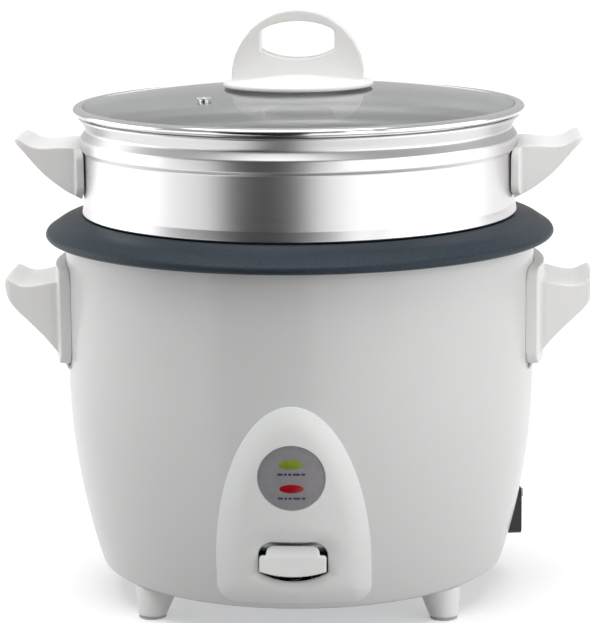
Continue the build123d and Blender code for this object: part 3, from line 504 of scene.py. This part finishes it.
# ---- Drum ------------------------------------------------------------------------------------
def drum_line(inset):
    """Wall of the drum from its bottom lip to its rim, moved in by an inset."""
    floor_z = DRUM_BOTTOM + inset
    curve_r = BELLY_CURVE_R - inset
    corner_r = DRUM_CORNER_R - inset
    centre = Vector((DRUM_R - BELLY_CURVE_R, BELLY_Z))
    low = Vector((0.0, floor_z + corner_r))
    low.x = centre.x + math.sqrt((curve_r - corner_r)**2 - (centre.y - low.y)**2)
    joint = (low - centre).normalized()
    end_angle = math.atan2(joint.y, joint.x)
    line = []
    for step in range(9):
        angle = -math.pi / 2 + (end_angle + math.pi / 2) * step / 8
        line.append((low.x + corner_r * math.cos(angle), low.y + corner_r * math.sin(angle)))
    for step in range(1, 41):
        angle = end_angle * (1 - step / 40)
        line.append((centre.x + curve_r * math.cos(angle), centre.y + curve_r * math.sin(angle)))
    rim = Vector((DRUM_R - DRUM_CORNER_R, DRUM_TOP - DRUM_CORNER_R))
    for step in range(9):
        angle = math.pi / 2 * step / 8
        line.append((rim.x + corner_r * math.cos(angle), rim.y + corner_r * math.sin(angle)))
    return line


def build_drum():
    lip_r = 93.0
    rim_lip_r = 116.0
    line = [(lip_r, DRUM_BOTTOM)] + drum_line(0.0) + [(rim_lip_r, DRUM_TOP)]
    line += [(rim_lip_r, DRUM_TOP - DRUM_SHEET)] + drum_line(DRUM_SHEET)[::-1]
    line += [(lip_r, DRUM_BOTTOM + DRUM_SHEET)]
    drum = lathe("drum_shell", line)
    near = 90.0
    far = 130.0
    cut(drum, prism("dial_opening", circle(13.5, (0.0, DIAL_Z)), near, far, FRONT))
    cut(drum, prism("lever_opening", rounded_box(18.2, 11.9, 2.0, (0.0, 42.6)), near, far, FRONT))
    inlet_low = bottom_of("power_inlet")
    inlet_high = top_of("power_inlet")
    middle = (inlet_low.z + inlet_high.z) / 2
    inlet = Matrix.Rotation(math.radians(8.0), 4, "Z") @ Matrix(
        ((0, 0, 1, 0), (1, 0, 0, 0), (0, 1, 0, 0), (0, 0, 0, 1))
    )
    cut(drum, prism("inlet_opening", rounded_box(13.6, 9.0, 0.5, (0.0, middle - 2.2)), near, far, inlet))
    return settle(drum, "root", "white_enamel", MATERIALS["white_enamel"], "body_shell")


# ---- Feet ------------------------------------------------------------------------------------
def build_feet():
    for place in ("front_left", "front_right", "rear_left", "rear_right"):
        foot = moulded(f"foot_{place}", f"moulded_foot_{place}", 0.4, 4)
        settle(foot, "root", "white_plastic", MATERIALS["white_plastic"], f"foot_{place}")


# ---- Pot -------------------------------------------------------------------------------------
def build_pot():
    sheet = 1.8
    outer = 109.3
    inner = outer - sheet
    line = rounded([
        (0, POT_BOTTOM), (outer, POT_BOTTOM, 16.0), (outer, 196.4, 1.0), (120.2, 193.0, 8.0),
        (125.8, 187.3, 1.0), (RING_R - 0.7, 186.9, 2.2), (RING_R - 0.7, 190.6, 3.4), (122.4, 196.2, 14.0),
        (112.6, POT_TOP - 1.2, 5.0), (inner, POT_TOP - 1.4, 1.6), (inner, POT_BOTTOM + sheet, 14.2),
        (0, POT_BOTTOM + sheet),
    ], 12)
    pot = lathe("nonstick_pot", line)
    return settle(pot, "pot", "dark_nonstick", MATERIALS["dark_nonstick"], "inner_pot")


# ---- Steamer tray ----------------------------------------------------------------------------
def offset_line(line, distance):
    """Line moved to its left by a distance."""
    moved = []
    for index, point in enumerate(line):
        before = Vector(line[max(index - 1, 0)])
        after = Vector(line[min(index + 1, len(line) - 1)])
        along = (after - before).normalized()
        moved.append((point[0] - along.y * distance, point[1] + along.x * distance))
    return moved


def build_tray():
    nest_r = 105.5
    wall_r = 110.8
    skirt = (111.9, 199.2)
    outer = rounded([
        (0, TRAY_FLOOR), (nest_r, TRAY_FLOOR, 4.0), (nest_r, skirt[1], 1.0), (*skirt, 0.9),
        (wall_r + 0.2, 204.6, 2.4), (wall_r, 231.2, 1.6), (wall_r + 1.2, 233.2, 1.2),
        (wall_r + 1.1, 238.6, 1.8),
        (109.1, 243.0, 1.8), (110.4, 245.4, 2.0), (112.2, 248.6),
    ], 10)
    sheet = 0.8
    inner = offset_line(outer, sheet)
    inner[0] = (0.0, TRAY_FLOOR + sheet)
    curl_centre = Vector((outer[-1][0] - 0.1, outer[-1][1] + 0.1))
    curl = []
    for step in range(13):
        angle = math.radians(-20 + 220 * step / 12)
        curl.append((curl_centre.x + 0.9 * math.cos(angle), curl_centre.y + 0.9 * math.sin(angle)))
    tray = lathe("spun_tray", outer + curl + inner[::-1])
    holes = []
    for ring_r, count in ((20.0, 6), (38.0, 12), (56.0, 18), (74.0, 24)):
        for index in range(count):
            angle = 2 * math.pi * index / count
            centre = (ring_r * math.cos(angle), ring_r * math.sin(angle))
            holes.append(prism("hole", circle(3.0, centre, 32), TRAY_FLOOR - 1, TRAY_FLOOR + 2))
    cut(tray, joined(holes, "holes"))
    return settle(tray, "steamer", "polished_aluminium", MATERIALS["polished_aluminium"], "steamer_tray")


# ---- Lid -------------------------------------------------------------------------------------
def build_lid():
    dome = [(GLASS_R * step / 48, glass_height(GLASS_R * step / 48)) for step in range(49)]
    under = [(r, z - GLASS_THICKNESS) for r, z in dome]
    glass = lathe("glass_dome", dome[:-1] + [(GLASS_R - 0.6, dome[-1][1] + 0.05)] + under[:-1][::-1])
    settle(glass, "lid", "lid_glass", MATERIALS["lid_glass"], "lid_glass")

    low = LID_RIM_LOW
    high = low + LID_RIM_HEIGHT
    band = lathe("lid_band", rounded([
        (110.4, low - LID_COLLAR), (110.4, low, 0.6), (LID_RIM_R, low, 1.6), (LID_RIM_R, high - 0.4, 1.9),
        (111.2, high, 0.5), (110.8, high - 0.5),
        (GLASS_R - 0.2, high - 1.2), (GLASS_R - 0.2, low + 1.0), (109.6, low + 0.9),
        (109.6, low - LID_COLLAR),
    ], 10))
    settle(band, "lid", "bright_steel", MATERIALS["bright_steel"], "lid_rim")

    x = (bottom_of("vent_eyelet").x + top_of("vent_eyelet").x) / 2
    y = (bottom_of("vent_eyelet").y + top_of("vent_eyelet").y) / 2
    top = top_of("vent_eyelet").z
    eyelet = lathe("vent_ring", rounded([
        (1.5, top - 6.0), (3.6, top - 6.0, 0.3), (3.6, top - 5.3, 0.3), (2.5, top - 5.3, 0.2),
        (2.5, top - 0.8, 0.2), (3.8, top - 0.8, 0.3), (3.8, top - 0.2, 0.4), (2.6, top, 0.5),
        (1.5, top - 0.5, 0.4), (1.5, top - 6.0),
    ], 5), centre=(x, y), steps=64)
    settle(eyelet, "lid", "bright_steel", MATERIALS["bright_steel"], "vent_eyelet")

    knob = moulded("lid_knob", "moulded_knob", 0.45, 6)
    settle(knob, "lid", "white_plastic", MATERIALS["white_plastic"], "lid_knob")


# ---- Handles ---------------------------------------------------------------------------------
STEAMER_WING_LIFT = 3.0   # the wings' free ends stand this much higher than in the CAD


def raise_wing(obj, lift):
    """Lift the free end of a side handle; its plate stays where it is."""
    plate_x = 118.0 * MM
    tip_x = 140.0 * MM
    for vertex in obj.data.vertices:
        share = max(0.0, min(1.0, (abs(vertex.co.x) - plate_x) / (tip_x - plate_x)))
        vertex.co.z += lift * MM * share


def build_handles():
    for side in ("left", "right"):
        handle = moulded(f"body_handle_{side}", f"moulded_body_handle_{side}", 0.5, 6)
        settle(handle, "root", "white_plastic", MATERIALS["white_plastic"], f"body_handle_{side}")
        handle = moulded(f"steamer_handle_{side}", f"moulded_steamer_handle_{side}", 0.45, 6)
        raise_wing(handle, STEAMER_WING_LIFT)
        settle(handle, "steamer", "white_plastic", MATERIALS["white_plastic"], f"steamer_handle_{side}")


# ---- Control bezel ---------------------------------------------------------------------------
BEZEL_BOTTOM = 19.5
BEZEL_CORNER = 9.0
BEZEL_CROWN = 12.0        # width of the band over which the bezel swells to its full height
BEZEL_EDGE = 0.5          # height of its sharp outer edge
SLOT_HALF_WIDTH = 16.9
SLOT_TOP = 53.2
SLOT_BOTTOM = 31.9
SLOT_SIDE_Z = 36.6        # where the sides of the slot meet its curved lower edge
SLOT_CORNER = 7.5
SLOT_MIDDLE = Vector((0.0, 43.4))
DISH_DEPTH = 3.0
DISH_REACH = 9.5
DIAL_RECESS = 16.55


def arch_margin(x, z):
    """Roughly how far a point lies inside the bezel's outline."""
    if z < BEZEL_SPRING_Z:
        side = BEZEL_HALF_WIDTH - abs(x)
        below = z - BEZEL_BOTTOM
        if side < BEZEL_CORNER and below < BEZEL_CORNER:
            return BEZEL_CORNER - math.hypot(BEZEL_CORNER - side, BEZEL_CORNER - below)
        return min(side, below)
    height = BEZEL_TOP - BEZEL_SPRING_Z
    u = x / BEZEL_HALF_WIDTH
    v = (z - BEZEL_SPRING_Z) / height
    reach = math.hypot(u, v)
    if reach < 1e-6:
        return BEZEL_HALF_WIDTH
    slope = math.hypot(u / BEZEL_HALF_WIDTH, v / height) / reach
    return (1 - reach) / slope


def slot_outline():
    """Slot for the lever, anticlockwise: a bowed lower edge, straight sides, two round upper corners."""
    line = []
    bow = SLOT_SIDE_Z - SLOT_BOTTOM
    arc_r = (SLOT_HALF_WIDTH**2 + bow**2) / (2 * bow)
    for step in range(-48, 49):
        x = SLOT_HALF_WIDTH * step / 48
        line.append((x, SLOT_BOTTOM + arc_r - math.sqrt(arc_r**2 - x**2)))
    flat = SLOT_HALF_WIDTH - SLOT_CORNER
    corner_z = SLOT_TOP - SLOT_CORNER
    for step in range(1, 12):
        line.append((SLOT_HALF_WIDTH, SLOT_SIDE_Z + (corner_z - SLOT_SIDE_Z) * step / 12))
    for step in range(25):
        angle = math.pi / 2 * step / 24
        line.append((flat + SLOT_CORNER * math.cos(angle), corner_z + SLOT_CORNER * math.sin(angle)))
    for step in range(1, 40):
        line.append((flat - 2 * flat * step / 40, SLOT_TOP))
    for step in range(25):
        angle = math.pi / 2 * (1 + step / 24)
        line.append((SLOT_CORNER * math.cos(angle) - flat, corner_z + SLOT_CORNER * math.sin(angle)))
    for step in range(11, 0, -1):
        line.append((-SLOT_HALF_WIDTH, SLOT_SIDE_Z + (corner_z - SLOT_SIDE_Z) * step / 12))
    return [Vector(p) for p in line]


def bezel_height(x, z, from_slot):
    """How far the bezel's skin stands out from the drum."""
    share = max(0.0, min(1.0, arch_margin(x, z) / BEZEL_CROWN))
    proud = BEZEL_EDGE + (BEZEL_PROUD - BEZEL_EDGE) * (1 - (1 - share) ** 1.9)
    reach = DISH_REACH - 4.0 * max(0.0, min(1.0, (SLOT_MIDDLE.y - z) / 10.0))
    if from_slot < reach:
        proud -= DISH_DEPTH * (1 - from_slot / reach) ** 2
    roll = 0.9
    if from_slot < roll:
        proud -= roll * (1 - math.sqrt(1 - (1 - from_slot / roll) ** 2))
    return proud


def skin_point(x, z, proud):
    """Point on the drum's front at a height above its wall."""
    radius = drum_radius(z) + proud
    return (x, -math.sqrt(radius**2 - x**2), z)


def build_bezel():
    inner = slot_outline()
    rows = [[] for _ in range(72)]
    for edge in inner:
        way = (edge - SLOT_MIDDLE).normalized()
        short = 0.0
        far = 120.0
        for _ in range(40):
            middle = (short + far) / 2
            spot = edge + way * middle
            if spot.y > BEZEL_BOTTOM and arch_margin(spot.x, spot.y) > 0:
                short = middle
            else:
                far = middle
        steps = [0.0, 0.05, 0.15, 0.3, 0.5, 0.7, 0.9, 1.2]
        steps += [1.2 + (short - 1.7) * k / 60 for k in range(1, 61)]
        steps += [short - 0.35, short - 0.15, short - 0.04, short]
        for row, distance in zip(rows, steps):
            spot = edge + way * distance
            height = bezel_height(spot.x, spot.y, distance)
            if short - distance < 0.35:
                height -= 0.35 * (1 - math.sqrt(1 - (1 - (short - distance) / 0.35) ** 2))
            row.append(skin_point(spot.x, spot.y, height))
    back = 0.06
    rows.append([skin_point(p[0], p[2], back) for p in rows[-1]])
    rows.append([skin_point(p[0], p[2], back) for p in rows[0]])
    count = len(inner)
    points = [p for row in rows for p in row]
    faces = []
    for row in range(len(rows)):
        ahead = (row + 1) % len(rows)
        for index in range(count):
            following = (index + 1) % count
            here = row * count
            there = ahead * count
            faces.append((here + index, here + following, there + following, there + index))
    bezel = soften(mesh_object("crowned_bezel", points, faces), 50.0)
    dial_hole = front_patch("dial_recess", circle(DIAL_RECESS, (0.0, DIAL_Z), 144), (0.0, DIAL_Z), 2.55, 9.0)
    cut(bezel, dial_hole)
    settle(bezel, "root", "white_plastic", MATERIALS["white_plastic"], "control_bezel")


def front_patch(name, outline, centre, low, high, dome=0.0, rings=10):
    """Closed patch on the drum's front over a star-shaped outline, between two distances from the wall."""
    points = []
    for layer, proud in (("top", high), ("under", low)):
        for ring in range(1, rings + 1):
            share = ring / rings
            lift = dome * (1 - share**2) if layer == "top" else 0.0
            for x, z in outline:
                px = centre[0] + (x - centre[0]) * share
                pz = centre[1] + (z - centre[1]) * share
                radius = drum_radius(pz) + proud + lift
                points.append((px, -math.sqrt(radius**2 - px**2), pz))
    count = len(outline)
    faces = []
    for base in (0, rings * count):
        faces.append(tuple(range(base, base + count)))
        for ring in range(rings - 1):
            for index in range(count):
                following = (index + 1) % count
                here = base + ring * count
                faces.append((here + index, here + following, here + count + following, here + count + index))
    outer = (rings - 1) * count
    under = rings * count + outer
    for index in range(count):
        following = (index + 1) % count
        faces.append((outer + index, outer + following, under + following, under + index))
    return soften(mesh_object(name, points, faces), 50.0)


def build_indicator():
    plate = front_patch("dial_plate", circle(DIAL_R, (0.0, DIAL_Z), 144), (0.0, DIAL_Z), 2.56, 3.0)
    settle(plate, "root", "dial_grey", MATERIALS["dial_grey"], "indicator_plate")
    for kind, slot in (("cook", "green_lens"), ("warm", "red_lens")):
        low = bottom_of(f"{kind}_lens")
        high = top_of(f"{kind}_lens")
        centre = (0.0, (low.z + high.z) / 2 - 0.5)
        outline = [(x * high.x, centre[1] + z * (high.z - low.z) / 2) for x, z in circle(1.0, steps=64)]
        window = front_patch(f"{kind}_window", outline, centre, 1.0, 3.15, 0.35)
        settle(window, "root", slot, MATERIALS[slot], f"{kind}_lens")
        marks = []
        widths = (2.6, 1.3, 1.6, 3.4, 1.9)
        gap = 0.65
        x = -(sum(widths) + gap * (len(widths) - 1)) / 2
        for width in widths:
            bar_centre = (x + width / 2, centre[1] - 4.9)
            bar = rounded_box(width / 2, 0.55, 0.25, bar_centre, 4)
            marks.append(front_patch("mark", bar, bar_centre, 2.95, 3.06, rings=2))
            x += width + gap
        marks = joined(marks, f"{kind}_marks")
        settle(marks, "root", "dial_grey", print_ink)


def build_lever():
    paddle = moulded("lever_paddle", "moulded_paddle", 0.35, 5)
    settle(paddle, "switch_lever", "white_plastic", MATERIALS["white_plastic"], "lever_paddle")


# ---- Studio ----------------------------------------------------------------------------------
def lit_table():
    """White table lit from within, so that shadows on it stay soft. It bounces little light upwards."""
    made = shader("studio_floor", (0.80, 0.80, 0.80), 0.8, Specular_IOR_Level=0.1)
    bsdf = made.node_tree.nodes["Principled BSDF"]
    tint(made, noise(made, 3.0), (0.795, 0.795, 0.795), (0.805, 0.805, 0.805))
    bsdf.inputs["Emission Color"].default_value = (1.0, 1.0, 1.0, 1.0)
    bsdf.inputs["Emission Strength"].default_value = 0.31
    dim = node(made, "ShaderNodeBsdfDiffuse", Color=(0.36, 0.36, 0.36, 1.0))
    path = node(made, "ShaderNodeLightPath")
    choice = node(made, "ShaderNodeMixShader")
    link(made, path.outputs["Is Diffuse Ray"], choice.inputs["Fac"])
    link(made, bsdf.outputs["BSDF"], choice.inputs[1])
    link(made, dim.outputs["BSDF"], choice.inputs[2])
    link(made, choice.outputs["Shader"], made.node_tree.nodes["Material Output"].inputs["Surface"])
    return made


def studio_world():
    """White backdrop to the camera. It lights the object brightly from behind and less from the front."""
    world = bpy.data.worlds.new("studio")
    world.use_nodes = True
    bpy.context.scene.world = world
    tree = world.node_tree
    lighting = tree.nodes["Background"]
    lighting.inputs["Color"].default_value = (1.0, 1.0, 1.0, 1.0)
    place = tree.nodes.new("ShaderNodeTexCoord")
    split = tree.nodes.new("ShaderNodeSeparateXYZ")
    spread = tree.nodes.new("ShaderNodeMapRange")
    spread.interpolation_type = "SMOOTHSTEP"
    spread.inputs["From Min"].default_value = -0.9
    spread.inputs["From Max"].default_value = 0.5
    spread.inputs["To Min"].default_value = 0.35
    spread.inputs["To Max"].default_value = 0.58
    tree.links.new(place.outputs["Generated"], split.inputs["Vector"])
    tree.links.new(split.outputs["Y"], spread.inputs["Value"])
    tree.links.new(spread.outputs["Result"], lighting.inputs["Strength"])
    backdrop = tree.nodes.new("ShaderNodeBackground")
    backdrop.inputs["Color"].default_value = (1.0, 1.0, 1.0, 1.0)
    seen = tree.nodes.new("ShaderNodeLightPath")
    choice = tree.nodes.new("ShaderNodeMixShader")
    tree.links.new(seen.outputs["Is Camera Ray"], choice.inputs["Fac"])
    tree.links.new(lighting.outputs["Background"], choice.inputs[1])
    tree.links.new(backdrop.outputs["Background"], choice.inputs[2])
    tree.links.new(choice.outputs["Shader"], tree.nodes["World Output"].inputs["Surface"])


def build_studio():
    half = 12.0
    mesh = bpy.data.meshes.new("floor")
    corners = [(-half, -half, 0), (half, -half, 0), (half, half, 0), (-half, half, 0)]
    mesh.from_pydata(corners, [], [(0, 1, 2, 3)])
    floor = bpy.data.objects.new("floor", mesh)
    bpy.context.scene.collection.objects.link(floor)
    floor.data.materials.append(lit_table())
    studio_world()
    add_sun("top_light", 1.75, 60.0)
    add_softbox("left_box", (-1.5, 0.25, 0.38), (1.5, 1.3), 9.0)
    add_softbox("right_box", (1.45, -0.35, 0.38), (1.7, 1.4), 11.0)
    add_softbox("front_right_box", (0.78, -1.25, 0.5), (0.35, 0.9), 1.7)
    add_flag("front_flag", (-0.32, 0.055), -0.46, 0.40, (-0.036, 0.004), -0.16)


def add_sun(name, strength, angle):
    light = bpy.data.lights.new(name, "SUN")
    light.energy = strength
    light.angle = math.radians(angle)
    sun = bpy.data.objects.new(name, light)
    sun.rotation_euler = (math.radians(6.0), math.radians(-4.0), 0.0)
    bpy.context.scene.collection.objects.link(sun)


def add_softbox(name, place, size, power):
    """Rectangular light that faces the middle of the object."""
    light = bpy.data.lights.new(name, "AREA")
    light.shape = "RECTANGLE"
    light.size, light.size_y = size
    light.energy = power
    box = bpy.data.objects.new(name, light)
    box.location = place
    aim = Vector((0.0, 0.0, 0.15)) - Vector(place)
    box.rotation_euler = aim.to_track_quat("-Z", "Y").to_euler()
    bpy.context.scene.collection.objects.link(box)


def add_flag(name, sides, y, height, near_sides, near_y):
    """Dark studio flag that only shows in reflections: a wedge on the table and an upright card."""
    lift = 0.002
    left, right = sides
    near_left, near_right = near_sides
    mesh = bpy.data.meshes.new(name)
    mesh.from_pydata(
        [
            (near_left, near_y, lift), (near_right, near_y, lift), (right, y, lift), (left, y, lift),
            (right, y, height), (left, y, height),
        ],
        [], [(0, 1, 2, 3), (3, 2, 4, 5)],
    )
    flag = bpy.data.objects.new(name, mesh)
    bpy.context.scene.collection.objects.link(flag)
    flag.data.materials.append(shader("flag_cloth", (0.01, 0.01, 0.01), 1.0, Specular_IOR_Level=0.0))
    flag.visible_camera = False
    flag.visible_diffuse = False
    flag.visible_shadow = False
    flag.visible_transmission = False


def build_camera():
    distance = 1.346
    side = math.radians(2.4)
    height = 0.402
    pitch = math.radians(10.8)
    yaw = math.radians(0.12)
    roll = math.radians(0.55)
    data = bpy.data.cameras.new("camera")
    data.lens = 152.1
    data.sensor_width = 36.0
    data.clip_end = 50.0
    camera = bpy.data.objects.new("camera", data)
    camera.location = (distance * math.sin(side), -distance * math.cos(side), height)
    turn = Matrix.Rotation(side + yaw, 4, "Z") @ Matrix.Rotation(math.pi / 2 - pitch, 4, "X")
    camera.rotation_euler = (turn @ Matrix.Rotation(-roll, 4, "Z")).to_euler()
    bpy.context.scene.collection.objects.link(camera)
    bpy.context.scene.camera = camera


build_camera()
build_studio()
dress_cad_nodes()
build_drum()
build_feet()
build_pot()
build_tray()
build_lid()
build_handles()
build_bezel()
build_indicator()
build_lever()
bpy.context.scene.view_settings.view_transform = "Standard"
